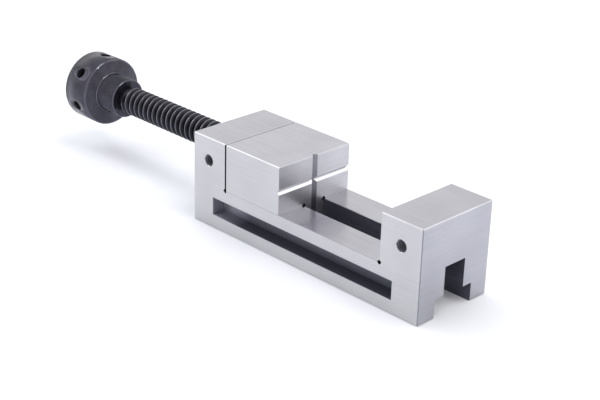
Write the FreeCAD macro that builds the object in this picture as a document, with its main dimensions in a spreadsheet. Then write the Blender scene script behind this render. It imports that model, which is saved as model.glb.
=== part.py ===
import FreeCAD, Part
import math
import os
import Sketcher
from FreeCAD import Placement, Rotation, Vector

# Precision grinding vise with a 50 mm wide body, lying flat on its ground base.
# Millimetres. The origin lies in the plane of the base, under the middle of the vise's whole length.
# +X points from the handle to the fixed jaw and +Z is up.
# The moving jaw stands fully open, next to the tail block that carries the nut.

# Driving dimensions, each with what it measures
SIZES = {
    # one-piece ground body
    "body_length": 158.0,  # tail face to the end face behind the fixed jaw
    "body_width": 50.0,
    "body_height": 50.0,
    "bed_height": 24.2,  # base to the bed that the jaw slides on
    "tail_thick": 24.5,  # block at the handle end
    "fixed_jaw_thick": 25.4,
    "outer_chamfer": 0.4,  # on the outside corners of the body
    "edge_break": 0.15,  # on the working faces of the tail block and both jaws
    "tail_edge_chamfer": 0.4,  # on the tail block's two upright edges beside the jaw
    "slot_break": 0.25,  # on the rims of the slots and the long edges of the bed
    "relief_reach": 1.45,  # half the diagonal of the square undercuts in the inside corners
    # stepped slot that runs the whole length of the body
    "guide_width": 14.4,  # narrow part, which guides the tongue
    "guide_roof": 25.3,  # its height under the two end blocks
    "tee_width": 26.6,  # wide part, open at the base
    "tee_height": 10.0,
    # long blind slots for toe clamps, one on each side
    "clamp_slot_start": 15.1,  # from the tail face
    "clamp_slot_length": 125.8,
    "clamp_slot_low": 7.6,  # base to the slot's floor
    "clamp_slot_tall": 9.6,
    "clamp_slot_deep": 8.0,
    # tapped holes in both sides for a work stop
    "stop_hole_diameter": 6.0,
    "stop_hole_mouth": 6.7,  # across the countersink
    "stop_hole_deep": 11.0,
    "stop_hole_height": 37.2,
    "stop_hole_from_tail": 11.6,
    "stop_hole_from_end": 12.55,
    "drill_point": 118.0,  # degrees
    # moving jaw
    "jaw_length": 39.2,
    "rest_gap": 0.6,  # between the tail block and the jaw when fully open
    "jaw_chamfer": 0.4,  # on its two long top edges
    "tongue_clearance": 0.03,  # each side of the tongue, and under the shoulders of the slot
    "level_groove_height": 36.5,  # centre of the level V-groove above the base
    "level_groove_half": 1.5,  # half its width, and its depth
    "upright_groove_half": 1.8,
    # spindle, nut and the captive nose in the jaw
    "spindle_height": 37.3,  # axis above the base
    "thread_diameter": 16.0,
    "thread_length_out": 87.3,  # from the tail face to the knob when fully open
    "thread_stop": 0.6,  # the thread ends this far short of the jaw
    "thread_chamfer": 1.2,
    "undercut_length": 2.4,  # thread undercut beside the knob
    "undercut_diameter": 11.4,
    "journal_diameter": 12.0,  # end that the knob is pinned to
    "journal_length": 21.0,
    "journal_end_gap": 0.3,  # left at the bottom of the knob's bore
    "nose_diameter": 10.0,
    "nose_length": 15.8,  # inside the jaw
    "nose_chamfer": 0.6,
    "nose_groove_centre": 9.0,  # from the back of the jaw
    "nose_groove_diameter": 7.6,
    "running_clearance": 0.05,  # radial, where one piece turns in another
    "fitted_clearance": 0.02,  # radial, where one piece is pressed or screwed into another
    "nut_diameter": 20.0,
    "nut_flange_diameter": 22.0,
    "nut_flange_thick": 4.0,
    "nut_lead_in": 0.8,  # chamfer at the outer mouth of the nut
    "lock_screw_diameter": 4.0,
    "lock_screw_length": 8.0,
    "lock_screw_sunk": 0.4,
    "lock_screw_socket": 2.0,  # across flats
    "lock_screw_socket_deep": 2.2,
    "thrust_disc_diameter": 9.8,
    "thrust_disc_thick": 2.0,
    "nose_pin_diameter": 2.5,
    "nose_pin_length": 15.0,
    "nose_pin_beyond": 4.0,  # how far the pins reach above the spindle axis
    # knob
    "head_diameter": 39.2,
    "head_thick": 18.6,
    "head_chamfer": 0.9,  # beside the collar
    "head_end_chamfer": 0.3,  # on the outer end
    "collar_diameter": 22.4,
    "collar_length": 14.9,
    "collar_chamfer": 0.5,
    "collar_root": 0.5,  # sloped corner where the collar meets the head
    "bar_hole_diameter": 6.0,  # for a tommy bar
    "bar_hole_mouth": 6.3,
    "bar_hole_deep": 10.0,
    "bar_hole_count": 6,
    "centre_hole_diameter": 4.0,  # lathe centre in the end of the knob
    "knob_pin_diameter": 4.0,
    "knob_pin_length": 22.0,
    "knob_pin_wall": 0.8,
    "knob_pin_slit": 0.8,
    "knob_pin_from_end": 7.5,  # from the jaw end of the collar
    "rest_turn": -40.0,  # how far the spindle is turned as it stands, in degrees
    # hold-down under the bed
    "plate_thick": 8.0,
    "plate_side_gap": 0.3,
    "plate_inset": 2.0,  # from both ends of the jaw
    "plate_chamfer": 0.5,
    "hold_screw_diameter": 5.0,
    "hold_screw_length": 16.0,
    "hold_screw_hole": 5.5,  # clearance hole in the plate
    "hold_screw_from_end": 7.6,  # from both ends of the plate
    "hold_screw_room": 2.5,  # how much deeper the tapped hole is than the screw
    "hold_head_diameter": 8.5,
    "hold_head_height": 3.5,
    "hold_head_sunk": 0.2,
    "hold_socket": 3.0,  # across flats
    "hold_socket_deep": 2.0,
    "counterbore_diameter": 10.6,
}

# Places that follow from them, as formulas
PLACES = {
    "handle_out": "sizes.thread_length_out + sizes.collar_length + sizes.head_thick",
    "tail_face": "(handle_out - sizes.body_length) / 2",
    "end_face": "(handle_out + sizes.body_length) / 2",
    "side": "sizes.body_width / 2",
    "bed_start": "tail_face + sizes.tail_thick",
    "bed_end": "end_face - sizes.fixed_jaw_thick",
    "jaw_back": "bed_start + sizes.rest_gap",
    "opening": "bed_end - jaw_back - sizes.jaw_length",
    "jaw_height": "sizes.body_height - sizes.bed_height",
    "axis_in_jaw": "sizes.spindle_height - sizes.bed_height",
    "tongue_half": "sizes.guide_width / 2 - sizes.tongue_clearance",
    "tongue_drop": "sizes.bed_height - sizes.tee_height + sizes.tongue_clearance",
    "plate_top": "sizes.tee_height - sizes.tongue_clearance",
    "plate_bottom": "plate_top - sizes.plate_thick",
    "plate_length": "sizes.jaw_length - 2 * sizes.plate_inset",
    "hold_screw_pitch": "plate_length - 2 * sizes.hold_screw_from_end",
    "counterbore_deep": "sizes.hold_head_sunk + sizes.hold_head_height",
    "collar_end": "tail_face - sizes.thread_length_out",
    "collar_in_jaw": "collar_end - jaw_back",
    "groove_width": "sizes.nose_pin_diameter + 4 * sizes.running_clearance",
    "nose_pin_offset": "(sizes.nose_groove_diameter + sizes.nose_pin_diameter) / 2"
                       " + sizes.running_clearance",
    "nose_bore_deep": "sizes.nose_length + sizes.running_clearance + sizes.thrust_disc_thick",
    "knob_bore_deep": "sizes.journal_length + sizes.journal_end_gap",
}

doc = FreeCAD.newDocument("grinding_vise")


def fill_sheet(name, rows):
    """A spreadsheet with one named cell for each row."""
    sheet = doc.addObject("Spreadsheet::Sheet", name)
    for number, (alias, value) in enumerate(rows.items(), start=1):
        sheet.set("A%d" % number, alias)
        sheet.set("B%d" % number, value)
        sheet.setAlias("B%d" % number, alias)
    doc.recompute()
    return sheet


sizes = fill_sheet("sizes", {alias: str(value) for alias, value in SIZES.items()})
places = fill_sheet("places", {alias: "=" + formula for alias, formula in PLACES.items()})


def value_of(formula):
    """The number that a formula of sheet values gives now."""
    answer = places.evalExpression(formula)
    return float(getattr(answer, "Value", answer))


def new_body(label, x="0", y="0", z="0", turned=False):
    """A body whose place follows the sheets; a turned one shares the spindle's angle."""
    body = doc.addObject("PartDesign::Body", label)
    body.Label = label
    body.Placement = Placement(Vector(0, 0, 0), Rotation(Vector(1, 0, 0), 1 if turned else 0))
    for axis, formula in (("x", x), ("y", y), ("z", z)):
        body.setExpression("Placement.Base." + axis, formula)
    if turned:
        body.setExpression("Placement.Rotation.Angle", "sizes.rest_turn")
    return body


def origin_part(body, role):
    """One of the body's own origin planes or axes."""
    return next(item for item in body.Origin.OriginFeatures if item.Role == role)


def new_sketch(body, name, plane, offset="0"):
    """An empty sketch on an origin plane, moved along the plane's normal."""
    sketch = body.newObject("Sketcher::SketchObject", name)
    sketch.AttachmentSupport = [(origin_part(body, plane), "")]
    sketch.MapMode = "FlatFace"
    sketch.setExpression("AttachmentOffset.Base.z", offset)
    return sketch


def pin_point(sketch, geometry, point, across, along):
    """Tie a point of a sketch to its two formulas."""
    for kind, axis, formula in (("DistanceX", -2, across), ("DistanceY", -1, along)):
        if formula == "0":
            sketch.addConstraint(Sketcher.Constraint("PointOnObject", geometry, point, axis))
            continue
        limit = Sketcher.Constraint(kind, -1, 1, geometry, point, value_of(formula))
        number = sketch.addConstraint(limit)
        sketch.setExpression("Constraints[%d]" % number, formula)


def outline(body, name, plane, corners, offset="0"):
    """A closed outline of straight lines; each corner is a pair of formulas."""
    sketch = new_sketch(body, name, plane, offset)
    points = [Vector(value_of(across), value_of(along), 0) for across, along in corners]
    count = len(corners)
    for number in range(count):
        sketch.addGeometry(Part.LineSegment(points[number], points[(number + 1) % count]))
    for number in range(count):
        following = (number + 1) % count
        sketch.addConstraint(Sketcher.Constraint("Coincident", number, 2, following, 1))
    for number, (across, along) in enumerate(corners):
        pin_point(sketch, number, 1, across, along)
    return sketch


def circles(body, name, plane, rings, offset="0"):
    """Circles, each given by the formulas of its centre and its diameter."""
    sketch = new_sketch(body, name, plane, offset)
    for number, (across, along, diameter) in enumerate(rings):
        centre = Vector(value_of(across), value_of(along), 0)
        sketch.addGeometry(Part.Circle(centre, Vector(0, 0, 1), value_of(diameter) / 2))
        pin_point(sketch, number, 3, across, along)
        limit = sketch.addConstraint(Sketcher.Constraint("Diameter", number, value_of(diameter)))
        sketch.setExpression("Constraints[%d]" % limit, diameter)
    return sketch


def hexagon(body, name, plane, across_flats, offset="0"):
    """A hexagon socket's outline, centred on the origin of its plane."""
    corners = []
    for number in range(6):
        angle = 30 + 60 * number
        reach = "%s / sqrt(3)" % across_flats
        corners.append(("%s * cos(%d deg)" % (reach, angle), "%s * sin(%d deg)" % (reach, angle)))
    # the second and fifth corners lie on the upright axis
    corners[1] = ("0", corners[1][1])
    corners[4] = ("0", corners[4][1])
    return outline(body, name, plane, corners, offset)


def pad(body, name, sketch, length, symmetric=False):
    """Material along the sketch's normal."""
    feature = body.newObject("PartDesign::Pad", name)
    feature.Profile = sketch
    feature.setExpression("Length", length)
    feature.SideType = "Symmetric" if symmetric else "One side"
    doc.recompute()
    return feature


def revolve(body, name, sketch, axis):
    """A turned piece about one of the body's own axes."""
    feature = body.newObject("PartDesign::Revolution", name)
    feature.Profile = sketch
    feature.ReferenceAxis = (origin_part(body, axis), [""])
    feature.Angle = 360
    doc.recompute()
    return feature


def pocket(body, name, sketch, depth=None, forward=False):
    """A cut against the sketch's normal, or along it if forward; with no depth, both ways through."""
    before = body.Shape.Volume
    feature = body.newObject("PartDesign::Pocket", name)
    feature.Profile = sketch
    if depth is None:
        feature.Type = "ThroughAll"
        feature.SideType = "Symmetric"
    else:
        feature.setExpression("Length", depth)
        feature.Reversed = forward
    doc.recompute()
    if body.Shape.Volume > before - 1e-3:
        raise RuntimeError("%s cuts nothing" % name)
    return feature


def mirror(body, name, original):
    """The same feature on the other side of the body's middle."""
    feature = body.newObject("PartDesign::Mirrored", name)
    feature.Originals = [original]
    feature.MirrorPlane = (origin_part(body, "XZ_Plane"), [""])
    body.Tip = feature
    doc.recompute()
    return feature


def edges_where(body, wanted):
    """Names of the body's edges that pass a test."""
    edges = body.Tip.Shape.Edges
    return ["Edge%d" % number for number, edge in enumerate(edges, start=1) if wanted(edge)]


def chamfer(body, name, size, wanted):
    """A chamfer on the edges that pass a test."""
    names = edges_where(body, wanted)
    if not names:
        raise RuntimeError("%s finds no edge" % name)
    base = body.Tip
    feature = body.newObject("PartDesign::Chamfer", name)
    feature.Base = (base, names)
    feature.setExpression("Size", size)
    body.Tip = feature
    doc.recompute()
    return feature


def lies_on(edge, index, *levels):
    """Whether a straight edge lies in one of some planes across an axis (0, 1 or 2)."""
    ends = [vertex.Point[index] for vertex in edge.Vertexes]
    return any(all(abs(end - level) < 1e-4 for end in ends) for level in levels)


def is_ring(edge, radius, centre_x):
    """Whether an edge is a full circle about the X axis with this radius and place."""
    curve = edge.Curve
    if not isinstance(curve, Part.Circle):
        return False
    same_place = abs(curve.Center.x - centre_x) < 1e-4 and abs(curve.Axis.x) > 0.999
    return same_place and abs(curve.Radius - radius) < 1e-4


def undercut(across, along, reach, quarter):
    """Three corners of a square undercut, set on its point, in an inside corner of an outline."""
    steps = {
        "right": [("0", "+"), ("+", "0"), ("0", "-"), ("-", "0")],
        "left": [("+", "0"), ("0", "-"), ("-", "0"), ("0", "+")],
    }[quarter]
    corners = []
    for sideways, upwards in steps:
        u = across if sideways == "0" else "%s %s %s" % (across, sideways, reach)
        v = along if upwards == "0" else "%s %s %s" % (along, upwards, reach)
        corners.append((u, v))
    return corners


def make_vise_body():
    """The one-piece body: tail block, bed, fixed jaw, stepped slot and side slots."""
    body = new_body("vise_body")
    bed, top, reach = "sizes.bed_height", "sizes.body_height", "sizes.relief_reach"
    corners = [("places.tail_face", "0"), ("places.end_face", "0")]
    corners += [("places.end_face", top), ("places.bed_end", top)]
    corners += undercut("places.bed_end", bed, reach, "right")
    corners += undercut("places.bed_start", bed, reach, "left")
    corners += [("places.bed_start", top), ("places.tail_face", top)]
    profile = outline(body, "side_profile", "XZ_Plane", corners)
    pad(body, "block", profile, "sizes.body_width", symmetric=True)

    wide, narrow = "sizes.tee_width / 2", "sizes.guide_width / 2"
    step, roof = "sizes.tee_height", "sizes.guide_roof"
    half = [(wide, "0"), (wide, step), (narrow, step), (narrow, roof)]
    slot = half + [("-" + across, along) for across, along in reversed(half)]
    pocket(body, "stepped_slot", outline(body, "slot_profile", "YZ_Plane", slot))

    start = "places.tail_face + sizes.clamp_slot_start"
    finish = start + " + sizes.clamp_slot_length"
    low = "sizes.clamp_slot_low"
    high = "sizes.clamp_slot_low + sizes.clamp_slot_tall"
    slot = outline(
        body, "clamp_slot_outline", "XZ_Plane",
        [(start, low), (finish, low), (finish, high), (start, high)], "places.side",
    )
    near_slot = pocket(body, "near_clamp_slot", slot, "sizes.clamp_slot_deep")
    mirror(body, "far_clamp_slot", near_slot)

    bore = "sizes.nut_diameter + 2 * sizes.fitted_clearance"
    flange = "sizes.nut_flange_diameter + 2 * sizes.fitted_clearance"
    axis = "sizes.spindle_height"
    ring = circles(body, "nut_bore_ring", "YZ_Plane", [("0", axis, bore)], "places.bed_start")
    pocket(body, "nut_bore", ring, "sizes.tail_thick")
    ring = circles(body, "flange_ring", "YZ_Plane", [("0", axis, flange)], "places.bed_start")
    pocket(body, "nut_flange_seat", ring, "sizes.nut_flange_thick")
    tapped = "sizes.lock_screw_diameter + 2 * sizes.fitted_clearance"
    ring = circles(
        body, "lock_ring", "YZ_Plane", [("sizes.nut_diameter / 2", axis, tapped)], "places.tail_face"
    )
    depth = "sizes.lock_screw_length + sizes.lock_screw_sunk"
    pocket(body, "lock_screw_hole", ring, depth, forward=True)

    drilled = "sizes.stop_hole_diameter"
    from_tail = "places.tail_face + sizes.stop_hole_from_tail"
    from_end = "places.end_face - sizes.stop_hole_from_end"
    height = "sizes.stop_hole_height"
    rings = circles(
        body, "stop_hole_rings", "XZ_Plane",
        [(from_tail, height, drilled), (from_end, height, drilled)], "places.side",
    )
    doc.recompute()
    holes = body.newObject("PartDesign::Hole", "near_stop_holes")
    holes.Profile = rings
    doc.recompute()
    holes.DepthType = "Dimension"
    holes.DrillPoint = "Angled"
    holes.HoleCutType = "Countersink"
    holes.setExpression("Diameter", drilled)
    holes.setExpression("Depth", "sizes.stop_hole_deep")
    holes.setExpression("DrillPointAngle", "sizes.drill_point")
    holes.setExpression("HoleCutDiameter", "sizes.stop_hole_mouth")
    holes.HoleCutCountersinkAngle = 90
    doc.recompute()
    mirror(body, "far_stop_holes", holes)

    ends = value_of("places.tail_face"), value_of("places.end_face")
    inner = value_of("places.bed_start"), value_of("places.bed_end")
    side = value_of("places.side")
    tall = value_of(top)

    def outside_corner(edge):
        """Edges between two outside faces of the block."""
        faces = [lies_on(edge, 0, *ends), lies_on(edge, 1, side, -side), lies_on(edge, 2, 0, tall)]
        return faces.count(True) == 2

    def beside_jaw(edge):
        """The tail block's two upright edges next to the jaw."""
        return lies_on(edge, 0, inner[0]) and lies_on(edge, 1, side, -side)

    def toward_work(edge):
        """The other upright and top edges of the two faces that look over the bed."""
        on_outside = lies_on(edge, 1, side, -side) or lies_on(edge, 2, tall)
        return lies_on(edge, 0, *inner) and on_outside and not beside_jaw(edge)

    bed_level, low_level = value_of(bed), value_of(low)
    high_level = value_of(high)
    guide = value_of(narrow)

    def slot_rim(edge):
        """Rims of the side slots, and the long edges of the bed."""
        if not isinstance(edge.Curve, Part.Line):
            return False
        box = edge.BoundBox
        in_slot = low_level - 1e-4 < box.ZMin and box.ZMax < high_level + 1e-4
        inside_ends = ends[0] + 1e-4 < box.XMin and box.XMax < ends[1] - 1e-4
        side_rim = lies_on(edge, 1, side, -side) and in_slot and inside_ends
        bed_rim = lies_on(edge, 2, bed_level) and lies_on(edge, 1, side, -side, guide, -guide)
        return side_rim or bed_rim

    chamfer(body, "outer_chamfers", "sizes.outer_chamfer", outside_corner)
    chamfer(body, "working_edges", "sizes.edge_break", toward_work)
    chamfer(body, "tail_edges", "sizes.tail_edge_chamfer", beside_jaw)
    chamfer(body, "slot_rims", "sizes.slot_break", slot_rim)
    return body


def make_moving_jaw():
    """The jaw with its tongue, grooved face and the bore that holds the spindle's nose."""
    body = new_body("moving_jaw", "places.jaw_back", "0", "sizes.bed_height")
    side, top = "places.side", "places.jaw_height"
    tongue, drop, reach = "places.tongue_half", "-places.tongue_drop", "sizes.relief_reach"
    right = [("-" + tongue, drop), (tongue, drop)]
    right += [(tongue, "-" + reach), ("%s - %s" % (tongue, reach), "0")]
    right += [(tongue, reach), ("%s + %s" % (tongue, reach), "0"), (side, "0"), (side, top)]
    left = [("-" + side, top), ("-" + side, "0"), ("-%s - %s" % (tongue, reach), "0")]
    left += [("-" + tongue, reach), ("-%s + %s" % (tongue, reach), "0"), ("-" + tongue, "-" + reach)]
    section = outline(body, "section", "YZ_Plane", right + left)
    pad(body, "block", section, "sizes.jaw_length")

    front = "sizes.jaw_length"
    centre = "sizes.level_groove_height - sizes.bed_height"
    half = "sizes.level_groove_half"
    below, above = "%s - %s" % (centre, half), "%s + %s" % (centre, half)
    corners = [(front, below), (front, above), ("%s - %s" % (front, half), centre)]
    pocket(body, "level_groove", outline(body, "level_outline", "XZ_Plane", corners))
    half = "sizes.upright_groove_half"
    corners = [(front, "-" + half), (front, half), ("%s - %s" % (front, half), "0")]
    pocket(body, "upright_groove", outline(body, "upright_outline", "XY_Plane", corners))

    bore = "sizes.nose_diameter + 2 * sizes.running_clearance"
    ring = circles(body, "nose_ring", "YZ_Plane", [("0", "places.axis_in_jaw", bore)])
    pocket(body, "nose_bore", ring, "places.nose_bore_deep", forward=True)

    pin = "sizes.nose_pin_diameter + 2 * sizes.fitted_clearance"
    offset = "places.nose_pin_offset"
    along = "sizes.nose_groove_centre"
    rings = [(along, offset, pin), (along, "-" + offset, pin)]
    rings = circles(body, "pin_rings", "XY_Plane", rings, drop)
    depth = "places.tongue_drop + places.axis_in_jaw + sizes.nose_pin_beyond"
    pocket(body, "pin_holes", rings, depth, forward=True)

    tapped = "sizes.hold_screw_diameter + 2 * sizes.fitted_clearance"
    middle, step = "sizes.jaw_length / 2", "places.hold_screw_pitch / 2"
    rings = circles(
        body, "screw_rings", "XY_Plane",
        [("%s - %s" % (middle, step), "0", tapped), ("%s + %s" % (middle, step), "0", tapped)], drop,
    )
    in_plate = "(sizes.plate_thick - places.counterbore_deep)"
    depth = "sizes.hold_screw_length - %s + sizes.hold_screw_room" % in_plate
    pocket(body, "screw_holes", rings, depth, forward=True)

    ends = 0, value_of("sizes.jaw_length")
    half_width, tall = value_of(side), value_of(top)

    def long_edge(edge):
        """The two top edges along the vise."""
        return lies_on(edge, 1, half_width, -half_width) and lies_on(edge, 2, tall)

    def end_edge(edge):
        """Outline of both end faces, without the edges on the bed."""
        places = [vertex.Point for vertex in edge.Vertexes]
        outside = [abs(abs(p.y) - half_width) < 1e-4 or abs(p.z - tall) < 1e-4 for p in places]
        return lies_on(edge, 0, *ends) and all(outside)

    chamfer(body, "long_chamfers", "sizes.jaw_chamfer", long_edge)
    chamfer(body, "end_edges", "sizes.edge_break", end_edge)
    return body


def make_spindle():
    """The screw spindle, turned from one bar; its nose turns in the jaw."""
    body = new_body("spindle", "places.jaw_back", "0", "sizes.spindle_height", turned=True)
    thread, undercut_r = "sizes.thread_diameter / 2", "sizes.undercut_diameter / 2"
    journal, nose = "sizes.journal_diameter / 2", "sizes.nose_diameter / 2"
    groove = "sizes.nose_groove_diameter / 2"
    collar = "places.collar_in_jaw"
    slope, small = "sizes.thread_chamfer", "sizes.nose_chamfer"
    tail = "%s - sizes.journal_length" % collar
    start = "%s + sizes.undercut_length" % collar
    stop = "-sizes.thread_stop"
    tip = "sizes.nose_length"
    ring_start = "sizes.nose_groove_centre - places.groove_width / 2"
    ring_end = "sizes.nose_groove_centre + places.groove_width / 2"
    corners = [(tail, "0"), (tail, journal), (collar, journal)]
    corners += [(collar, undercut_r), (start, undercut_r)]
    corners += [(start, "%s - %s" % (thread, slope)), ("%s + %s" % (start, slope), thread)]
    corners += [("%s - %s" % (stop, slope), thread), (stop, "%s - %s" % (thread, slope))]
    corners += [(stop, nose)]
    corners += [(ring_start, nose), (ring_start, groove), (ring_end, groove), (ring_end, nose)]
    corners += [("%s - %s" % (tip, small), nose), (tip, "%s - %s" % (nose, small)), (tip, "0")]
    revolve(body, "turned_bar", outline(body, "bar_profile", "XZ_Plane", corners), "X_Axis")
    hole = "sizes.knob_pin_diameter + 2 * sizes.fitted_clearance"
    ring = circles(body, "pin_ring", "XY_Plane", [(collar + " - sizes.knob_pin_from_end", "0", hole)])
    pocket(body, "pin_hole", ring)
    return body


def make_spindle_nut():
    """The flanged nut that is drawn into the tail block when the vise clamps."""
    body = new_body("spindle_nut", "places.bed_start", "0", "sizes.spindle_height")
    bore = "sizes.thread_diameter / 2 + sizes.running_clearance"
    outer, flange = "sizes.nut_diameter / 2", "sizes.nut_flange_diameter / 2"
    far, seat, lead = "-sizes.tail_thick", "-sizes.nut_flange_thick", "sizes.nut_lead_in"
    corners = [("0", bore), ("%s + %s" % (far, lead), bore), (far, "%s + %s" % (bore, lead))]
    corners += [(far, outer), (seat, outer), (seat, flange), ("0", flange)]
    revolve(body, "turned_bush", outline(body, "bush_profile", "XZ_Plane", corners), "X_Axis")
    tapped = "sizes.lock_screw_diameter + 2 * sizes.fitted_clearance"
    ring = circles(body, "lock_ring", "YZ_Plane", [(outer, "0", tapped)], far)
    depth = "sizes.lock_screw_length + sizes.lock_screw_sunk"
    pocket(body, "lock_screw_hole", ring, depth, forward=True)
    return body


def make_nut_lock_screw():
    """A set screw on the joint between nut and body, which keeps the nut from turning."""
    x = "places.tail_face + sizes.lock_screw_sunk"
    body = new_body("nut_lock_screw", x, "sizes.nut_diameter / 2", "sizes.spindle_height")
    ring = circles(body, "shank_ring", "YZ_Plane", [("0", "0", "sizes.lock_screw_diameter")])
    pad(body, "shank", ring, "sizes.lock_screw_length")
    socket = hexagon(body, "socket_outline", "YZ_Plane", "sizes.lock_screw_socket")
    pocket(body, "socket", socket, "sizes.lock_screw_socket_deep", forward=True)
    return body


def make_knob():
    """The turned knob: a head with six bar holes and a collar that is pinned to the spindle."""
    body = new_body("handle_knob", "places.collar_end", "0", "sizes.spindle_height", turned=True)
    bore = "sizes.journal_diameter / 2 + sizes.fitted_clearance"
    collar, head = "sizes.collar_diameter / 2", "sizes.head_diameter / 2"
    deep, shoulder = "-places.knob_bore_deep", "-sizes.collar_length"
    back = "-(sizes.collar_length + sizes.head_thick)"
    centre = "sizes.centre_hole_diameter / 2"
    root = "sizes.collar_root"
    corners = [("0", bore), ("0", collar), ("%s + %s" % (shoulder, root), collar)]
    corners += [(shoulder, "%s + %s" % (collar, root)), (shoulder, head), (back, head)]
    corners += [(back, centre), ("%s + %s" % (back, centre), "0"), (deep, "0"), (deep, bore)]
    revolve(body, "turned_knob", outline(body, "knob_profile", "XZ_Plane", corners), "X_Axis")

    middle = "-(sizes.collar_length + sizes.head_thick / 2)"
    ring = circles(body, "bar_ring", "XZ_Plane", [(middle, "0", "sizes.bar_hole_diameter")], head)
    first = pocket(body, "bar_hole", ring, "sizes.bar_hole_deep")
    holes = body.newObject("PartDesign::PolarPattern", "bar_holes")
    holes.Originals = [first]
    holes.Axis = (origin_part(body, "X_Axis"), [""])
    holes.Angle = 360
    holes.setExpression("Occurrences", "sizes.bar_hole_count")
    body.Tip = holes
    doc.recompute()
    hole = "sizes.knob_pin_diameter + 2 * sizes.fitted_clearance"
    ring = circles(body, "pin_ring", "XY_Plane", [("-sizes.knob_pin_from_end", "0", hole)])
    pocket(body, "pin_hole", ring)

    collar_r, head_r = value_of(collar), value_of(head)
    face_x, back_x = value_of(shoulder), value_of(back)
    rings = [
        ("head_chamfer", head_r, face_x),
        ("head_end_chamfer", head_r, back_x),
        ("collar_chamfer", collar_r, 0),
    ]
    for size, radius, x in rings:
        chamfer(body, size, "sizes." + size, lambda edge: is_ring(edge, radius, x))
    hole_r = value_of("sizes.bar_hole_diameter / 2")

    def bar_hole_mouth(edge):
        """The edge where a bar hole meets the round of the head."""
        box = edge.BoundBox
        far_out = max(math.hypot(v.Point.y, v.Point.z) for v in edge.Vertexes) > head_r - hole_r
        on_head = abs(box.Center.x - value_of(middle)) < hole_r / 2
        return far_out and on_head and not isinstance(edge.Curve, (Part.Line, Part.Circle))

    mouth = "(sizes.bar_hole_mouth - sizes.bar_hole_diameter) / 2"
    chamfer(body, "bar_hole_mouths", mouth, bar_hole_mouth)
    return body


def make_knob_pin():
    """A slotted spring pin through collar and spindle."""
    x = "places.collar_end - sizes.knob_pin_from_end"
    body = new_body("knob_pin", x, "0", "sizes.spindle_height", turned=True)
    outer = "sizes.knob_pin_diameter"
    inner = "sizes.knob_pin_diameter - 2 * sizes.knob_pin_wall"
    length = "sizes.knob_pin_length"
    rings = circles(body, "tube_rings", "XY_Plane", [("0", "0", outer), ("0", "0", inner)])
    pad(body, "tube", rings, length, symmetric=True)
    half = "sizes.knob_pin_slit / 2"
    slit = outline(
        body, "slit_outline", "XY_Plane",
        [("0", "-" + half), (outer, "-" + half), (outer, half), ("0", half)],
    )
    pocket(body, "slit", slit)
    return body


def make_thrust_disc():
    """A hardened disc between the spindle's nose and the bottom of its bore."""
    x = "places.jaw_back + sizes.nose_length + sizes.running_clearance"
    body = new_body("thrust_disc", x, "0", "sizes.spindle_height")
    ring = circles(body, "disc_ring", "YZ_Plane", [("0", "0", "sizes.thrust_disc_diameter")])
    pad(body, "disc", ring, "sizes.thrust_disc_thick")
    return body


def make_nose_pin(label, sign):
    """A dowel beside the spindle, in the groove of its nose."""
    x = "places.jaw_back + sizes.nose_groove_centre"
    z = "sizes.spindle_height + sizes.nose_pin_beyond - sizes.nose_pin_length"
    body = new_body(label, x, sign + "places.nose_pin_offset", z)
    ring = circles(body, "dowel_ring", "XY_Plane", [("0", "0", "sizes.nose_pin_diameter")])
    pad(body, "dowel", ring, "sizes.nose_pin_length")
    return body


def make_hold_down_plate():
    """The plate that rides in the wide slot and keeps the jaw down on the bed."""
    x = "places.jaw_back + sizes.plate_inset"
    body = new_body("hold_down_plate", x, "0", "places.plate_bottom")
    length = "places.plate_length"
    half = "sizes.tee_width / 2 - sizes.plate_side_gap"
    corners = [("0", "-(%s)" % half), (length, "-(%s)" % half), (length, half), ("0", half)]
    pad(body, "block", outline(body, "plate_outline", "XY_Plane", corners), "sizes.plate_thick")
    middle, step = "places.plate_length / 2", "places.hold_screw_pitch / 2"
    spots = ["%s - %s" % (middle, step), "%s + %s" % (middle, step)]
    rings = [(spot, "0", "sizes.hold_screw_hole") for spot in spots]
    pocket(body, "screw_holes", circles(body, "hole_rings", "XY_Plane", rings))
    rings = [(spot, "0", "sizes.counterbore_diameter") for spot in spots]
    bores = circles(body, "bore_rings", "XY_Plane", rings)
    pocket(body, "counterbores", bores, "places.counterbore_deep", forward=True)
    thick = value_of("sizes.plate_thick")

    def outline_edge(edge):
        """Straight edges of the top and bottom faces."""
        return isinstance(edge.Curve, Part.Line) and lies_on(edge, 2, 0, thick)

    chamfer(body, "plate_chamfers", "sizes.plate_chamfer", outline_edge)
    return body


SCREW_SPOTS = {"rear": "-", "front": "+"}


def screw_place(spot):
    """Where a hold-down screw's axis crosses the bed, along the vise."""
    return "places.jaw_back + sizes.jaw_length / 2 %s places.hold_screw_pitch / 2" % SCREW_SPOTS[spot]


def make_hold_down_screw(spot):
    """A low-head cap screw, fitted from below."""
    z = "places.plate_bottom + sizes.hold_head_sunk"
    body = new_body("hold_down_screw_" + spot, screw_place(spot), "0", z)
    head = circles(body, "head_ring", "XY_Plane", [("0", "0", "sizes.hold_head_diameter")])
    pad(body, "head", head, "sizes.hold_head_height")
    ring = [("0", "0", "sizes.hold_screw_diameter")]
    shank = circles(body, "shank_ring", "XY_Plane", ring, "sizes.hold_head_height")
    pad(body, "shank", shank, "sizes.hold_screw_length")
    socket = hexagon(body, "socket_outline", "XY_Plane", "sizes.hold_socket")
    pocket(body, "socket", socket, "sizes.hold_socket_deep", forward=True)
    return body


pieces = [
    make_vise_body(),
    make_spindle_nut(),
    make_nut_lock_screw(),
    make_moving_jaw(),
    make_hold_down_plate(),
    make_thrust_disc(),
    make_nose_pin("nose_pin_near", "-"),
    make_nose_pin("nose_pin_far", ""),
    make_spindle(),
    make_knob(),
    make_knob_pin(),
]
pieces += [make_hold_down_screw(spot) for spot in SCREW_SPOTS]

doc.recompute()

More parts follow.
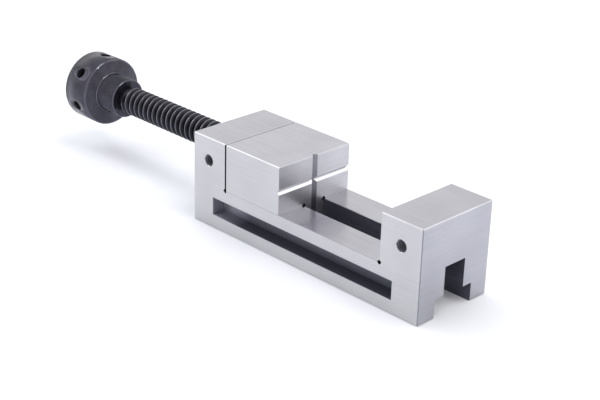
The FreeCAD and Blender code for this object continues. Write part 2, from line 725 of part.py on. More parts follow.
# Nothing is written unless every feature and every piece came out whole
for item in doc.Objects:
    if "Invalid" in item.State or "Error" in item.State:
        raise RuntimeError("%s failed: %s" % (item.Name, item.getStatusString()))
for piece in pieces:
    if piece.Shape.isNull() or not piece.Shape.isValid() or len(piece.Shape.Solids) != 1:
        raise RuntimeError("%s is not one sound solid" % piece.Label)

os.makedirs("parts", exist_ok=True)
for piece in pieces:
    piece.Shape.exportStep("parts/%s.step" % piece.Label)
    print("%-26s %10.1f mm3" % (piece.Label, piece.Shape.Volume))
print("opening %.1f mm" % value_of("places.opening"))
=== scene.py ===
# %% [markdown]
# # Dressing a precision grinding vise
# A small toolroom vise is hardened steel, ground on every outside face, with a blackened spindle and knob.
# Its solids were built elsewhere and arrive as named meshes. This lesson gives them their surfaces, cuts
# the threads that the plain solids leave out, and sets up the light and the camera. Everything is in
# metres. +X runs from the knob to the fixed jaw, +Y to the far side, and the base lies at z = 0.

# %% Load the solids
import math

import bmesh
import bpy
from mathutils import Matrix, Vector


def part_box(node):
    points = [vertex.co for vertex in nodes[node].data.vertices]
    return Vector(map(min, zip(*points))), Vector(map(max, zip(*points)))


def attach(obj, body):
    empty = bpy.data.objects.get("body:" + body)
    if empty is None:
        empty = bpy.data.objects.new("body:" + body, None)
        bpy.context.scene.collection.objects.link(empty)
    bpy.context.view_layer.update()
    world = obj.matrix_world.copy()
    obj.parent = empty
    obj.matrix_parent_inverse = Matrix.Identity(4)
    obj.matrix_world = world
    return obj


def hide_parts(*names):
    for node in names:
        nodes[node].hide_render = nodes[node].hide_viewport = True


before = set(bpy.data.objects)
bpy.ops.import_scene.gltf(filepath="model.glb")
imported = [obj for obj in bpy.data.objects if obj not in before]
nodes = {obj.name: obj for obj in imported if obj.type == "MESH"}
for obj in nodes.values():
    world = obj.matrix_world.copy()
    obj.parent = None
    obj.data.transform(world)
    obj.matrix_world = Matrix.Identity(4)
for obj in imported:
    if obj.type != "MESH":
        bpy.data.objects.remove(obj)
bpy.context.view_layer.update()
MM = 0.001

# %% [markdown]
# ## Places on the vise
# Places that several cells need are read from the solids' boxes, so they follow a change of the model. The
# spindle's axis is the centre of the round knob. The heights of the bed and of the four tapped holes in
# the sides show in no box, nor do the holes' distances from the two end faces, so these are written down.

# %% Read the places
body_low, body_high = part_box("vise_body")
jaw_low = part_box("moving_jaw")[0]
spindle_low, spindle_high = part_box("spindle")
knob_low, knob_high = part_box("handle_knob")
nut_low, nut_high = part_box("spindle_nut")
TAIL_X = body_low.x
END_X = body_high.x
AXIS_Z = (knob_low.z + knob_high.z) / 2
BED_Z = 24.2 * MM
HOLE_Z = 37.2 * MM
HOLE_FROM_TAIL = 11.6 * MM
HOLE_FROM_END = 12.55 * MM
HOLE_PLACES = {"tail": TAIL_X + HOLE_FROM_TAIL, "jaw": END_X - HOLE_FROM_END}
print("tail face at x =", round(TAIL_X / MM, 2), "mm, spindle axis at z =", round(AXIS_Z / MM, 2), "mm")

# %% [markdown]
# ## The camera
# The photographer stood far off with a long lens, looking down at about 24 degrees from the fixed jaw's
# near corner. The angles come from fitting the vise's straight edges to the picture. The camera is
# built from three directions: its right, its up and its back. A small roll about the back direction
# tilts the horizon a little.

# %% Place the camera
CAMERA_TURN = math.radians(44.78)
CAMERA_RISE = math.radians(24.36)
CAMERA_ROLL = math.radians(1.72)
CAMERA_DISTANCE = 776.9 * MM
CAMERA_FROM_END = 157.5 * MM
CAMERA_ASIDE = 38.35 * MM
CAMERA_ABOVE = 3.1 * MM
LENS = 85.34
SENSOR_WIDTH = 36
CLIP_START = 10 * MM

back = Vector((
    math.sin(CAMERA_TURN) * math.cos(CAMERA_RISE),
    -math.cos(CAMERA_TURN) * math.cos(CAMERA_RISE),
    math.sin(CAMERA_RISE),
))
level_right = Vector((0, 0, 1)).cross(back).normalized()
level_up = back.cross(level_right)
right = level_right * math.cos(CAMERA_ROLL) + level_up * math.sin(CAMERA_ROLL)
up = level_up * math.cos(CAMERA_ROLL) - level_right * math.sin(CAMERA_ROLL)

camera = bpy.data.objects.new("camera", bpy.data.cameras.new("camera"))
bpy.context.scene.collection.objects.link(camera)
camera.data.sensor_width = SENSOR_WIDTH
camera.data.lens = LENS
camera.data.clip_start = CLIP_START
middle = Vector((END_X - CAMERA_FROM_END, 0, 0))
place = middle + back * CAMERA_DISTANCE + right * CAMERA_ASIDE + up * CAMERA_ABOVE
axes = Matrix((right, up, back)).transposed()
camera.matrix_world = Matrix.Translation(place) @ axes.to_4x4()
bpy.context.scene.camera = camera
print("camera at", [round(c, 3) for c in place])

# %% [markdown]
# ## Tools for making materials
# Colours are written as sRGB hex, as a picture editor shows them, and one function turns them to the
# linear values that Blender's sockets want. A second small function adds a shader node, sets it up and
# links it. It takes a socket by its name, or by its number where several have the same name. A Mix
# node's inputs 2 and 3 are its two numbers, 4 and 5 its two vectors, 6 and 7 its two colours, and its
# outputs 0, 1 and 2 likewise.

# %% Define the helpers for colours and nodes
def linear(code):
    """An sRGB hex colour as a linear RGBA tuple."""
    parts = [int(code[start:start + 2], 16) / 255 for start in (1, 3, 5)]
    return tuple(p / 12.92 if p <= 0.04045 else ((p + 0.055) / 1.055) ** 2.4 for p in parts) + (1.0,)


def add(tree, kind, sockets=None, **settings):
    """One new node. Each socket gets a plain value, or a link where it is given another node's output."""
    node = tree.nodes.new(kind)
    for name, value in settings.items():
        setattr(node, name, value)
    for name, value in (sockets or {}).items():
        if isinstance(value, bpy.types.NodeSocket):
            tree.links.new(value, node.inputs[name])
        else:
            node.inputs[name].default_value = value
    return node


def start_material(name, metallic, roughness):
    """A new material and its main shader, with the values that are the same all over."""
    material = bpy.data.materials.new(name)
    material.use_nodes = True
    shader = material.node_tree.nodes["Principled BSDF"]
    shader.inputs["Metallic"].default_value = metallic
    shader.inputs["Roughness"].default_value = roughness
    return material, shader


print("mid grey #808080 is", round(linear("#808080")[0], 3), "in linear light")

# %% [markdown]
# ## Ground tool steel
# The body and the jaw are hardened and then surface ground. The wheel leaves fine straight lines along
# the table's travel, which is the length of the vise on the top and the sides. The steel stays bright
# and a little soft to look into: it mirrors shapes, but blurs them. A noise squeezed hard along one
# direction gives such lines. Real ones are about 0.05 mm apart, too fine to show here, so they are
# drawn at about 0.3 mm.
# The end faces and the jaw's face run across the length, so there the lines are turned to run level.
# A second, broad noise lets the shade drift slowly, as it does where the wheel was dressed between passes.

# %% Describe ground steel
LINE_SPACING = 0.3 * MM
LINE_LENGTH = 35 * MM
LINE_DEPTH = 0.02 * MM
DRIFT = 24 * MM
DRIFT_SHARE = 0.45
FACING = 0.9  # a face looks along an axis when its direction has more than this of it


def ground_steel(name, bright, dull, sharpest=0.2, softest=0.27):
    """Surface ground steel with level grinding lines, bright and dull being its two sRGB shades."""
    material, shader = start_material(name, 1.0, softest)
    tree = material.node_tree
    where = add(tree, "ShaderNodeTexCoord")
    facing = add(tree, "ShaderNodeSeparateXYZ", {0: where.outputs["Normal"]})
    across = add(tree, "ShaderNodeMath", {0: facing.outputs["X"]}, operation="ABSOLUTE")
    is_end = add(tree, "ShaderNodeMath", {0: across.outputs[0], 1: FACING}, operation="GREATER_THAN")
    fine, long = 1 / LINE_SPACING, 1 / LINE_LENGTH
    along = add(tree, "ShaderNodeMapping", {"Vector": where.outputs["Object"], "Scale": (long, fine, fine)})
    level = add(tree, "ShaderNodeMapping", {"Vector": where.outputs["Object"], "Scale": (fine, long, fine)})
    run = add(tree, "ShaderNodeMix", {
        "Factor": is_end.outputs[0], 4: along.outputs[0], 5: level.outputs[0],
    }, data_type="VECTOR")
    lines = add(tree, "ShaderNodeTexNoise", {
        "Vector": run.outputs[1], "Scale": 1.0, "Detail": 3.0, "Roughness": 0.6,
    })
    clouds = add(tree, "ShaderNodeTexNoise", {
        "Vector": where.outputs["Object"], "Scale": 1 / DRIFT, "Detail": 1.0,
    })
    both = add(tree, "ShaderNodeMix", {
        "Factor": DRIFT_SHARE, 2: lines.outputs["Fac"], 3: clouds.outputs["Fac"],
    })
    shade = add(tree, "ShaderNodeMapRange", {"Value": both.outputs[0], "From Min": 0.35, "From Max": 0.65})
    shades = add(tree, "ShaderNodeMix", {
        "Factor": shade.outputs[0], 6: linear(dull), 7: linear(bright),
    }, data_type="RGBA")
    tree.links.new(shades.outputs[2], shader.inputs["Base Color"])
    gloss = add(tree, "ShaderNodeMapRange", {
        "Value": shade.outputs[0], "To Min": softest, "To Max": sharpest,
    })
    tree.links.new(gloss.outputs[0], shader.inputs["Roughness"])
    bump = add(tree, "ShaderNodeBump", {
        "Height": lines.outputs["Fac"], "Strength": 0.03, "Distance": LINE_DEPTH,
    })
    tree.links.new(bump.outputs[0], shader.inputs["Normal"])
    return material


print("grinding lines every", round(LINE_SPACING / MM, 2), "mm")

# %% [markdown]
# The sides, the tops and the faces across each get their own shades. On the body the tops are a shade
# darker and cooler and the end faces greyer than the sides: both are painted shade.
# The jaw's face is the softest to look into. The narrow slanted edges were rubbed by hand with an
# oilstone. The level groove in the jaw's face is polished by the round work that is clamped in it.

# %% Make the ground steels
# the sides are bright and even, the tops a shade cooler and darker, and the end faces greyer: painted shade
BODY_STEEL = ground_steel("hardened_tool_steel_ground", "#C8C7C9", "#BEBDBF")
TOP_STEEL = ground_steel("hardened_tool_steel_top_painted_shade", "#C2C1C7", "#B6B5BC")
END_STEEL = ground_steel("hardened_tool_steel_across_painted_shade", "#B9B9BF", "#ABABB1")
JAW_STEEL = ground_steel("hardened_jaw_steel_ground", "#C8C7C9", "#BEBDBF")
JAW_TOP_STEEL = ground_steel("hardened_jaw_steel_ground_top", "#C8C7CE", "#BAB9C0")
JAW_FACE_STEEL = ground_steel("hardened_jaw_steel_ground_across", "#CBCACE", "#BBBABE", 0.38, 0.44)
# stoned edges catch the light as thin lines, the slot's rims darker, the upright ones painted darker as
# shade
EDGE_STEEL = ground_steel("stoned_edge_steel", "#C0C0C6", "#AEAEB4", 0.22, 0.28)
UPRIGHT_STEEL = ground_steel("upright_edge_steel_painted_shade", "#94949C", "#84848C", 0.3, 0.36)
RIM_STEEL = ground_steel("stoned_rim_steel", "#B2B2B8", "#A4A4AA", 0.3, 0.36)
# the groove's flanks mirror the most sharply
FLANK_STEEL = ground_steel("polished_groove_steel", "#C8C8CD", "#BEBEC4", 0.16, 0.2)
BODY_STEELS = (BODY_STEEL, TOP_STEEL, END_STEEL)
JAW_STEELS = (JAW_STEEL, JAW_TOP_STEEL, JAW_FACE_STEEL)
print("ground steels:", [steel.name for steel in BODY_STEELS + JAW_STEELS])

# %% [markdown]
# ## Milled slots, left dark
# The slots are milled before hardening and are not ground after it. The heat leaves them blue-grey and
# dull, with faint streaks from the cutter along their length. A stretched noise gives the streaks, as on
# the ground steel, but broader and deeper. The side slots' floor and roof are a darker shade of it, which
# is painted shade, and toward the tail end a paler third shade is mixed in, by the place along the vise,
# which is painted light. The square undercuts in the corners are painted nearly black as shade, and the
# tapped holes are an oily grey.

# %% Make the dark steels
STREAK_WIDTH = 0.5 * MM
STREAK_LENGTH = 25 * MM
STREAK_DEPTH = 0.02 * MM
SLOT_START = TAIL_X + 15.1 * MM
PAINTED_LIGHT_REACH = 20 * MM


def dark_steel(name, light, dark, roughness, metallic=1.0, painted_light_at_tail=None):
    """Unground steel with streaks along the vise, in two sRGB shades, and a third as painted light at the
    tail end.
    """
    material, shader = start_material(name, metallic, roughness)
    tree = material.node_tree
    where = add(tree, "ShaderNodeTexCoord")
    run = add(tree, "ShaderNodeMapping", {
        "Vector": where.outputs["Object"], "Scale": (1 / STREAK_LENGTH, 1 / STREAK_WIDTH, 1 / STREAK_WIDTH),
    })
    streaks = add(tree, "ShaderNodeTexNoise", {"Vector": run.outputs[0], "Scale": 1.0, "Detail": 4.0})
    shades = add(tree, "ShaderNodeMix", {
        "Factor": streaks.outputs["Fac"], 6: linear(dark), 7: linear(light),
    }, data_type="RGBA")
    colour = shades.outputs[2]
    # a paler shade toward the slot's tail end is painted light
    if painted_light_at_tail:
        along = add(tree, "ShaderNodeSeparateXYZ", {0: where.outputs["Object"]})
        near_end = add(tree, "ShaderNodeMapRange", {
            "Value": along.outputs["X"], "From Min": SLOT_START + PAINTED_LIGHT_REACH, "From Max": SLOT_START,
        })
        scaled = add(tree, "ShaderNodeMix", {
            "Factor": near_end.outputs[0], 6: colour, 7: linear(painted_light_at_tail),
        }, data_type="RGBA")
        colour = scaled.outputs[2]
    tree.links.new(colour, shader.inputs["Base Color"])
    bump = add(tree, "ShaderNodeBump", {
        "Height": streaks.outputs["Fac"], "Strength": 0.25, "Distance": STREAK_DEPTH,
    })
    tree.links.new(bump.outputs[0], shader.inputs["Normal"])
    return material


# dull blue-grey in the slot along the base, and darker on the side slots' floor and roof as painted shade,
# with painted light paler toward the tail end
SLOT_STEEL = dark_steel("heat_treated_slot_steel", "#666774", "#4A4B57", 0.5, 0.5)
SHELF_STEEL = dark_steel("heat_treated_slot_shelf_painted_shade_and_light", "#5A5B67", "#3F404B", 0.5, 0.5, painted_light_at_tail="#A6A7B2")
# pale and almost matt at the side slots' closed ends, and a little shinier on their upright walls, which
# take painted light toward the tail end
SCALE_STEEL = dark_steel("heat_scaled_slot_end_steel", "#9C9DA8", "#888994", 0.6, 0.2)
WALL_STEEL = dark_steel("heat_treated_slot_wall_painted_light", "#83848F", "#6C6D78", 0.5, painted_light_at_tail="#D2D3DC")
# nearly black in the undercuts as painted shade, oily grey in tapped holes, plain milled grey on the hidden
# plate
HOLLOW_STEEL = dark_steel("painted_shade_hollow_steel", "#2C2C31", "#18181B", 0.55)
TAPPED_STEEL = dark_steel("oily_tapped_hole_steel", "#66666E", "#4A4A51", 0.42)
PLATE_STEEL = dark_steel("milled_plate_steel", "#8C8E94", "#6C6E75", 0.42)
print("dark steels:", SLOT_STEEL.name, HOLLOW_STEEL.name, PLATE_STEEL.name)

# %% [markdown]
# ## Black oxide on turned steel
# The knob and the spindle are turned on a lathe and then blackened in a hot salt bath. The layer is thin,
# so the lathe's rings stay visible, and a little oil gives it a satin shine. The rings run round the
# spindle's axis: they are a noise of the length along the axis and of the distance from it. Real ones are
# about 0.1 mm apart, and are drawn at 0.35 mm. On the thread the grooves are painted nearly black, oil and
# painted shade, and the nut rubs the crests so that the steel shows through a little, painted paler as wear
# and a painted highlight. Both follow the distance from the axis, and a hazy noise makes the crests patchy.

# %% Describe turned steel
ROOT = 5.75 * MM
CREST = 8.0 * MM
RING_SPACING = 0.35 * MM
RING_DEPTH = 0.02 * MM
HAZE = 6 * MM
GROOVE_SHADE_REACH = 0.6 * MM
CREST_HIGHLIGHT_REACH = 0.15 * MM
CREST_SKIN = 0.02 * MM
# the grooves' near-black is oil and painted shade, the crests' paler grey is wear and a painted highlight
GROOVE_OIL_AND_SHADE = "#2A2A31"
RUBBED_AND_HIGHLIT_GREY = "#9A9BA2"


def thread_shade_and_highlight(tree, radius, haze, colour):
    """The colour of a used thread: oil and painted shade below the crest, wear and a painted highlight on
    it.
    """
    depth = add(tree, "ShaderNodeMapRange", {
        "Value": radius, "From Min": CREST - GROOVE_SHADE_REACH, "From Max": CREST - CREST_SKIN,
    })
    # darker deeper in the groove: oil and painted shade
    oily = add(tree, "ShaderNodeMix", {
        "Factor": depth.outputs[0], 6: linear(GROOVE_OIL_AND_SHADE), 7: colour,
    }, data_type="RGBA")
    # paler on the crest: rubbing and a painted highlight
    rub_and_highlight_mask = add(tree, "ShaderNodeMapRange", {
        "Value": radius, "From Min": CREST - CREST_HIGHLIGHT_REACH, "From Max": CREST - CREST_SKIN, "To Max": 0.6,
    })
    patchy = add(tree, "ShaderNodeMath", {0: rub_and_highlight_mask.outputs[0], 1: haze}, operation="MULTIPLY")
    rubbed_and_highlit = add(tree, "ShaderNodeMix", {
        "Factor": patchy.outputs[0], 6: oily.outputs[2], 7: linear(RUBBED_AND_HIGHLIT_GREY),
    }, data_type="RGBA")
    return rubbed_and_highlit.outputs[2]


def turned_steel(name, light, dark, roughness, metallic=1.0, thread=False):
    """Turned steel with lathe rings, in two sRGB shades; a thread is also oily and rubbed, with painted
    shade and highlight.
    """
    material, shader = start_material(name, metallic, roughness)
    tree = material.node_tree
    where = add(tree, "ShaderNodeTexCoord")
    split = add(tree, "ShaderNodeSeparateXYZ", {0: where.outputs["Object"]})
    rise = add(tree, "ShaderNodeMath", {0: split.outputs["Z"], 1: AXIS_Z}, operation="SUBTRACT")
    flat = add(tree, "ShaderNodeCombineXYZ", {"Y": split.outputs["Y"], "Z": rise.outputs[0]})
    radius = add(tree, "ShaderNodeVectorMath", {0: flat.outputs[0]}, operation="LENGTH").outputs["Value"]
    rings_at = add(tree, "ShaderNodeCombineXYZ", {"X": split.outputs["X"], "Y": radius})
    rings = add(tree, "ShaderNodeTexNoise", {
        "Vector": rings_at.outputs[0], "Scale": 1 / RING_SPACING, "Detail": 2.0,
    })
    haze = add(tree, "ShaderNodeTexNoise", {
        "Vector": where.outputs["Object"], "Scale": 1 / HAZE, "Detail": 3.0,
    })
    tone = add(tree, "ShaderNodeMath", {
        0: rings.outputs["Fac"], 1: haze.outputs["Fac"],
    }, operation="MULTIPLY")
    shade = add(tree, "ShaderNodeMapRange", {"Value": tone.outputs[0], "From Min": 0.12, "From Max": 0.4})
    shades = add(tree, "ShaderNodeMix", {
        "Factor": shade.outputs[0], 6: linear(dark), 7: linear(light),
    }, data_type="RGBA")
    colour = shades.outputs[2]
    if thread:
        colour = thread_shade_and_highlight(tree, radius, haze.outputs["Fac"], colour)
    tree.links.new(colour, shader.inputs["Base Color"])
    bump = add(tree, "ShaderNodeBump", {
        "Height": rings.outputs["Fac"], "Strength": 0.15, "Distance": RING_DEPTH,
    })
    tree.links.new(bump.outputs[0], shader.inputs["Normal"])
    return material


print("lathe rings every", round(RING_SPACING / MM, 2), "mm")

# %% [markdown]
# The oxide is no clean metal, so these steels are only partly metallic. The slanted edges of the knob are
# worn by hands: they are shinier than its round faces, and paler, which is wear and a painted highlight.

# %% Make the blackened steels
OXIDE = 0.7
# satin and nearly black, the collar darker as painted shade, the edges paler as wear and a painted highlight
KNOB_BLACK = turned_steel("black_oxide_turned_knob", "#4F4E59", "#3A3942", 0.25, OXIDE)
COLLAR_BLACK = turned_steel("black_oxide_collar_painted_shade", "#45444E", "#32313A", 0.27, OXIDE)
KNOB_EDGE = turned_steel("black_oxide_edge_wear_and_highlight", "#64646E", "#4F4F59", 0.13, OXIDE)
SPINDLE_BLACK = turned_steel("black_oxide_cut_thread", "#54545D", "#404047", 0.30, OXIDE, thread=True)
SCREW_BLACK = turned_steel("black_oxide_screw", "#4A4A50", "#36363B", 0.38, OXIDE)
print("blackened steels:", KNOB_BLACK.name, SPINDLE_BLACK.name, SCREW_BLACK.name)

# %% [markdown]
# ## Bright turned steel
# The nut is turned steel with fine rings, the dowels and the thrust disc are hardened and ground bright,
# and the pin through the knob is oiled spring steel. They differ only in shade and gloss, so the same
# function makes them, with the same ring pattern about the spindle's axis.

# %% Make the small parts' steels
# the nut is pale and satin, the dowels are the brightest, and the spring pin is a dull grey
NUT_STEEL = turned_steel("turned_nut_steel", "#B4B5BA", "#9A9BA1", 0.32)
DOWEL_STEEL = turned_steel("ground_dowel_steel", "#C9C9CE", "#B9B9BE", 0.2)
SPRING_STEEL = turned_steel("oiled_spring_steel", "#7F8088", "#66676E", 0.35)
print("small parts' steels:", NUT_STEEL.name, DOWEL_STEEL.name, SPRING_STEEL.name)

# %% [markdown]
# ## Which face gets which steel
# One piece of steel carries several finishes, so each face of the three big nodes is given one by its
# place and direction. The meshes themselves stay as they are: only each face's material number is set. A
# painted picture could do the same, but a rule needs no picture and holds from every side.
# The first rule is for the outside. A face that looks along an axis was ground, and a
# slanted one was stoned.

# %% Set up the finishes
GROUND, TOP, END, SLOT, SHELF, SLOT_END, WALL, HOLLOW, TAPPED, EDGE, UPRIGHT, RIM, FLANK = range(13)
SLOT_STEELS = (SLOT_STEEL, SHELF_STEEL, SCALE_STEEL, WALL_STEEL, HOLLOW_STEEL, TAPPED_STEEL)
SHARED_STEELS = SLOT_STEELS + (EDGE_STEEL, UPRIGHT_STEEL, RIM_STEEL, FLANK_STEEL)
LEVEL = 0.1  # a face doesn't look along an axis when its direction has less than this of it


def paint(name, *materials):
    """Gives a node its materials, in order, in place of those it came with."""
    mesh = nodes[name].data
    mesh.materials.clear()
    for material in materials:
        mesh.materials.append(material)


def finish_faces(name, choose):
    """Sets each face's material number and counts them."""
    counts = {}
    for face in nodes[name].data.polygons:
        face.material_index = choose(face.center, face.normal)
        counts[face.material_index] = counts.get(face.material_index, 0) + 1
    return counts


def within(span, value):
    """Whether a value lies between the two ends of a span."""
    return span[0] < value < span[1]


def is_slanted(normal):
    """Whether a face looks along none of the three axes."""
    return max(abs(part) for part in normal) < FACING


def outside_finish(normal):
    """Ground or stoned finish from a face's direction; tops, ends and upright edges carry painted shade."""
    if is_slanted(normal):
        return UPRIGHT if abs(normal.z) < LEVEL else EDGE
    if abs(normal.x) > FACING:
        return END
    return TOP if normal.z > FACING else GROUND


print("finishes for the body and the jaw:", len(BODY_STEELS + SHARED_STEELS))

# %% [markdown]
# The body's rules follow how it was made. First come the milled slots: the long clamp slot in each side,
# with its small chamfer all round, and the stepped slot that runs along the base. Then the four tapped
# holes, then the narrow slanted faces: the square undercuts at the ends of the bed and the joint beside the
# jaw, painted nearly black as shade, and the long edges of the bed, painted darker as shade. What is left
# was ground.

# %% Give the body its finishes
# in millimetres: "deep" spans are distances from the middle plane, "tall" spans are heights above the base
SIDE_SLOT_DEEP = (16.9, 24.74)
SIDE_SLOT_TALL = (7.5, 17.3)
SIDE_RIM_DEEP = (24.74, 24.99)
SIDE_RIM_TALL = (7.3, 17.5)
LONG_SLOT_HALF = 13.35
LONG_SLOT_ROOF = 23.95
GUIDE_HALF = 7.3
BLOCK_ROOF_TALL = (24.3, 25.4)
HOLE_MOUTH = 24.6
HOLE_REACH = 3.3
BED_START = nut_high.x / MM
BED_END = END_X / MM - 25.4
UNDERCUT_LONG = (BED_START - 1.6, BED_END + 1.6)
UNDERCUT_REACH = 1.5
JOINT_LONG = (BED_START - 0.5, BED_START)
JOINT_DEEP = 24.5
BED_EDGE_TALL = (23.9, 24.2)
# how much of an axis a direction has: leaning toward it, half way to it, and all but along it
LEANING, HALF_WAY, STRAIGHT = 0.3, 0.5, 0.99


def side_slot_finish(normal):
    """The finish inside the long slot of each side: its floor and roof, its closed ends and its wall."""
    if abs(normal.z) >= LEVEL:
        return SHELF
    return SLOT_END if abs(normal.x) > FACING else WALL


def side_rim_finish(normal):
    """The chamfer round that slot: pale at the tail end, dark below with painted shade, stoned elsewhere."""
    if normal.x > LEANING:
        return SLOT_END
    return SHELF if normal.z > LEANING else RIM


def body_finish(place, normal):
    """The finish of a face of the body, from its centre and direction."""
    x, y, z = place / MM
    y = abs(y)
    if within(SIDE_SLOT_DEEP, y) and within(SIDE_SLOT_TALL, z):
        return side_slot_finish(normal)
    in_long_slot = y < LONG_SLOT_HALF and z < LONG_SLOT_ROOF and abs(normal.x) < HALF_WAY
    under_blocks = y < GUIDE_HALF and within(BLOCK_ROOF_TALL, z) and abs(normal.z) > FACING
    if in_long_slot or under_blocks:
        return SLOT
    off_hole = min(math.hypot(x - hole_x / MM, z - HOLE_Z / MM) for hole_x in HOLE_PLACES.values())
    if y < HOLE_MOUTH and off_hole < HOLE_REACH and abs(normal.x) < STRAIGHT:
        return TAPPED
    if not is_slanted(normal):
        return outside_finish(normal)
    near_bed = abs(z - BED_Z / MM) < UNDERCUT_REACH
    in_corner = near_bed and within(UNDERCUT_LONG, x) and abs(normal.y) < LEVEL
    beside_jaw = within(JOINT_LONG, x) and y > JOINT_DEEP
    # the undercuts and the joint beside the jaw are painted nearly black, as shade
    if in_corner or beside_jaw:
        return HOLLOW
    # the bed's long edges take the upright steel, painted darker as shade
    if within(BED_EDGE_TALL, z):
        return UPRIGHT
    if within(SIDE_RIM_DEEP, y) and within(SIDE_RIM_TALL, z):
        return side_rim_finish(normal)
    return outside_finish(normal)


paint("vise_body", *BODY_STEELS, *SHARED_STEELS)
print("body faces by finish:", finish_faces("vise_body", body_finish))

# %% [markdown]
# The moving jaw has only two places of its own: the undercuts where its tongue meets its sole, which are
# painted dark as shade, and the level groove in its face, whose two flanks are polished. The rest was
# ground.

# %% Give the jaw its finishes
TONGUE_HALF = 7.2
TONGUE_REACH = 1.6
GROOVE_HEIGHT = 36.5
GROOVE_REACH = 1.6
JAW_FRONT = 36


def jaw_finish(place, normal):
    """The finish of a face of the jaw, from its centre and direction."""
    x, y, z = (place.x - jaw_low.x) / MM, abs(place.y) / MM, place.z / MM
    if not is_slanted(normal):
        return outside_finish(normal)
    at_sole = abs(z - BED_Z / MM) < TONGUE_REACH and abs(normal.x) < LEVEL
    # the tongue's undercuts are painted dark, as shade
    if at_sole and abs(y - TONGUE_HALF) < TONGUE_REACH:
        return HOLLOW
    if x > JAW_FRONT and abs(z - GROOVE_HEIGHT) < GROOVE_REACH and abs(normal.y) < LEVEL:
        return FLANK
    return outside_finish(normal)


paint("moving_jaw", *JAW_STEELS, *SHARED_STEELS)
print("jaw faces by finish:", finish_faces("moving_jaw", jaw_finish))

# %% [markdown]
# The knob is one turned piece: a thick head with six holes for a tommy bar round it, and a thinner collar.
# Its slanted faces are worn bright, wear and a painted highlight; the walls of the bar holes are painted
# dark as shade, and the collar is painted a little darker than the head, as shade.

# %% Give the knob its finishes
KNOB_ROUND, KNOB_SLANT, KNOB_HOLE, KNOB_COLLAR = range(4)
COLLAR_FROM = knob_high.x - 14.4 * MM
HEAD_MIDDLE = knob_low.x + 9.3 * MM
HEAD_RADIUS = (knob_high.z - knob_low.z) / 2
BAR_HOLE_HALF = 3.1 * MM
BAR_HOLE_FROM_AXIS = (9 * MM, HEAD_RADIUS - 0.3 * MM)
SLANT_SPAN = (0.3, 0.95)


def knob_finish(place, normal):
    """A knob face's finish: wear and painted highlight on slanted edges, painted shade in the bar holes."""
    radius = math.hypot(place.y, place.z - AXIS_Z)
    if abs(place.x - HEAD_MIDDLE) < BAR_HOLE_HALF and within(BAR_HOLE_FROM_AXIS, radius):
        return KNOB_HOLE
    if within(SLANT_SPAN, abs(normal.x)):
        return KNOB_SLANT
    return KNOB_COLLAR if place.x > COLLAR_FROM else KNOB_ROUND


paint("handle_knob", KNOB_BLACK, KNOB_EDGE, HOLLOW_STEEL, COLLAR_BLACK)
print("knob faces by finish:", finish_faces("handle_knob", knob_finish))

# %% [markdown]
# Each of the small pieces was made in one way and has one finish all over, so a table of names is enough.
# Most of them hide inside the vise, but they show when it is taken apart. The screws are bought blackened,
# the dowels ground, and the plate under the jaw was only milled.

# %% Give the other nodes their steels
OTHER_FINISHES = {
    "spindle": SPINDLE_BLACK,
    "spindle_nut": NUT_STEEL,
    "hold_down_plate": PLATE_STEEL,
    "nut_lock_screw": SCREW_BLACK,
    "hold_down_screw_rear": SCREW_BLACK,
    "hold_down_screw_front": SCREW_BLACK,
    "thrust_disc": DOWEL_STEEL,
    "nose_pin_near": DOWEL_STEEL,
    "nose_pin_far": DOWEL_STEEL,
    "knob_pin": SPRING_STEEL,
}
for name, steel in OTHER_FINISHES.items():
    paint(name, steel)
painted = {"vise_body", "moving_jaw", "handle_knob", *OTHER_FINISHES}
print("painted", len(painted), "of", len(nodes), "nodes")

# %% [markdown]
# ## The thread
# The spindle carries a trapezoidal thread, 16 mm across with a pitch of 4 mm, right-hand. A thread is a
# shape with a rule: one profile, a crest, two flanks at 15 degrees and a root, that climbs one pitch in
# each turn. Geometry Nodes wrap a flat grid into it. One way across the grid is the profile, the other is
# the turning angle. Each turn's last column lies exactly on the next turn's first, so merging them closes
# the surface. The tree's sizes are its named inputs, so one tree serves every thread on the vise.

# %% Name the thread's inputs
THREAD_INPUTS = {
    "Start": 0.0, "End": 100 * MM, "Shift": 0.0, "Pitch": 4 * MM, "Root Radius": ROOT, "Crest Radius": CREST,
    "Crest Width": 0.7 * MM, "Root Width": 1.4 * MM, "Edge Round": 0.12 * MM, "Taper": 1.2 * MM,
}
SEGMENTS = 64
COLUMNS = 9
LAST_COLUMN = float(COLUMNS - 1)


def start_thread_tree():
    """A new node group with the thread's inputs, and the outputs of its input node."""
    tree = bpy.data.node_groups.new("wrapped thread", "GeometryNodeTree")
    interface = tree.interface
    for name, value in THREAD_INPUTS.items():
        interface.new_socket(name, in_out="INPUT", socket_type="NodeSocketFloat").default_value = value
    interface.new_socket("Inside", in_out="INPUT", socket_type="NodeSocketBool")
    interface.new_socket("Steel", in_out="INPUT", socket_type="NodeSocketMaterial")
    interface.new_socket("Geometry", in_out="OUTPUT", socket_type="NodeSocketGeometry")
    return tree, add(tree, "NodeGroupInput").outputs


def calculator(tree):
    """A function that adds one sum after another to a tree."""
    def calculate(operation, first, second=0.0, third=0.0):
        sockets = {0: first, 1: second, 2: third}
        return add(tree, "ShaderNodeMath", sockets, operation=operation).outputs[0]
    return calculate


print("thread inputs:", ", ".join(THREAD_INPUTS))

# %% [markdown]
# The profile is half crest, rounded edge, flank and half root, and then the same mirrored, so nine columns
# are enough. Each column's number picks how far it lies along the pitch, and how high: 1 at the crest, 0
# at the root. The columns past the middle take the mirrored places.

# %% Lay out the thread's profile
def choose_by_number(tree, number, values):
    """The value that a whole number picks out of a list."""
    switch = add(tree, "GeometryNodeIndexSwitch", data_type="FLOAT")
    while len(switch.index_switch_items) < len(values):
        switch.index_switch_items.new()
    tree.links.new(number, switch.inputs[0])
    for position, value in enumerate(values, start=1):
        if isinstance(value, bpy.types.NodeSocket):
            tree.links.new(value, switch.inputs[position])
        else:
            switch.inputs[position].default_value = value
    return switch.outputs[0]


